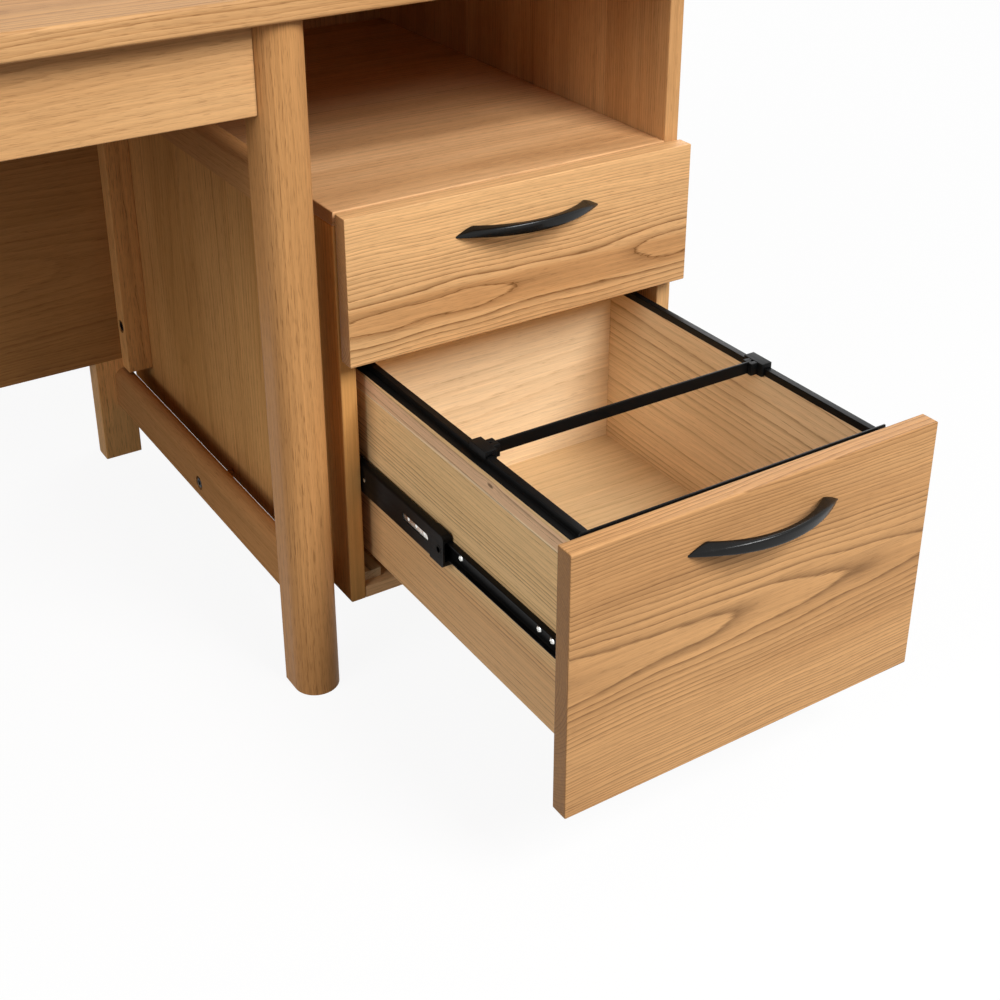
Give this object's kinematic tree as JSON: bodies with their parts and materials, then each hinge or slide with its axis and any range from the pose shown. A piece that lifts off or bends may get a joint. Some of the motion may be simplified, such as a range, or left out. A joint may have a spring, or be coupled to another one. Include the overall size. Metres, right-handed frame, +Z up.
{
  "type": "computer desk",
  "caption": "Wooden computer desk on two leg frames, with a modesty panel and a hung pedestal of a top drawer and an open file drawer with a hanging-file frame.",
  "frame": {"origin": "on the floor, under the middle of the whole desk's box with the file drawer open as at rest", "axes": "X to the right along the desk's length, Y to the back, Z up; the drawers open towards -Y"},
  "size_m": [1.524, 1.091, 0.762],
  "materials": {
    "oak_face": "satin lacquer, cathedral grain",
    "oak_frame": "satin lacquer, straight grain",
    "oak_panel": "satin lacquer, veneered panel",
    "drawer_wood": "clear satin lacquer, pale",
    "black_steel": "satin black",
    "black_plastic": "matte black",
    "zinc": "bright zinc plate"
  },
  "bodies": {
    "desk": {"bottom_cleats": "drawer_wood", "desktop": "oak_face", "desktop_brackets": "zinc", "file_slide_outer": "black_steel", "frame_bolts": "black_steel", "front_apron": "oak_frame", "left_front_leg": "oak_frame", "left_lower_rail": "oak_frame", "left_mid_rail": "oak_frame", "left_rear_leg": "oak_frame", "left_top_rail": "oak_frame", "modesty_cleat": "oak_frame", "modesty_panel": "oak_panel", "pedestal_back": "oak_panel", "pedestal_bottom": "oak_panel", "pedestal_divider": "oak_panel", "pedestal_feet": "oak_frame", "pedestal_left_side": "oak_panel", "pedestal_right_side": "oak_panel", "pedestal_spacers": "oak_frame", "pedestal_top": "oak_panel", "rear_apron": "oak_frame", "right_front_leg": "oak_frame", "right_lower_rail": "oak_frame", "right_mid_rail": "oak_frame", "right_rear_leg": "oak_frame", "right_top_rail": "oak_frame", "slide_case_screws": "zinc", "top_slide_outer": "black_steel"},
    "top_drawer": {"top_drawer_back": "drawer_wood", "top_drawer_bottom": "drawer_wood", "top_drawer_front": "oak_face", "top_drawer_handle": "black_steel", "top_drawer_inner_front": "drawer_wood", "top_drawer_left_side": "drawer_wood", "top_drawer_right_side": "drawer_wood", "top_handle_screws": "zinc", "top_slide_inner": "black_steel", "top_slide_screws": "zinc"},
    "top_slide_middle": {"top_slide_bumpers": "black_plastic", "top_slide_middle": "black_steel", "top_slide_retainers": "zinc"},
    "file_drawer": {"file_drawer_back": "drawer_wood", "file_drawer_bottom": "drawer_wood", "file_drawer_front": "oak_face", "file_drawer_handle": "black_steel", "file_drawer_inner_front": "drawer_wood", "file_drawer_left_side": "drawer_wood", "file_drawer_right_side": "drawer_wood", "file_handle_screws": "zinc", "file_rail_front": "black_steel", "file_rail_left": "black_steel", "file_rail_right": "black_steel", "file_slide_inner": "black_steel", "file_slide_screws": "zinc"},
    "file_slide_middle": {"file_slide_bumpers": "black_plastic", "file_slide_middle": "black_steel", "file_slide_retainers": "zinc"},
    "hanging_bar": {"cross_bar_clips": "black_plastic", "hanging_cross_bar": "black_steel"}
  },
  "joints": [
    {"name": "top_drawer_slide", "type": "slide", "parent": "desk", "child": "top_drawer", "axis": [0, -1, 0], "range_m": [0, 0.45]},
    {"name": "top_slide_travel", "type": "slide", "parent": "desk", "child": "top_slide_middle", "axis": [0, -1, 0], "range_m": [0, 0.225]},
    {"name": "file_drawer_slide", "type": "slide", "parent": "desk", "child": "file_drawer", "axis": [0, -1, 0], "range_m": [-0.381, 0.069]},
    {"name": "file_slide_travel", "type": "slide", "parent": "desk", "child": "file_slide_middle", "axis": [0, -1, 0], "range_m": [-0.1905, 0.0345]},
    {"name": "hanging_bar_slide", "type": "slide", "parent": "file_drawer", "child": "hanging_bar", "axis": [0, 1, 0], "range_m": [-0.152, 0.236]}
  ],
  "couplings": [
    {"joint": "top_slide_travel", "follows": "top_drawer_slide", "ratio": 0.5},
    {"joint": "file_slide_travel", "follows": "file_drawer_slide", "ratio": 0.5}
  ]
}
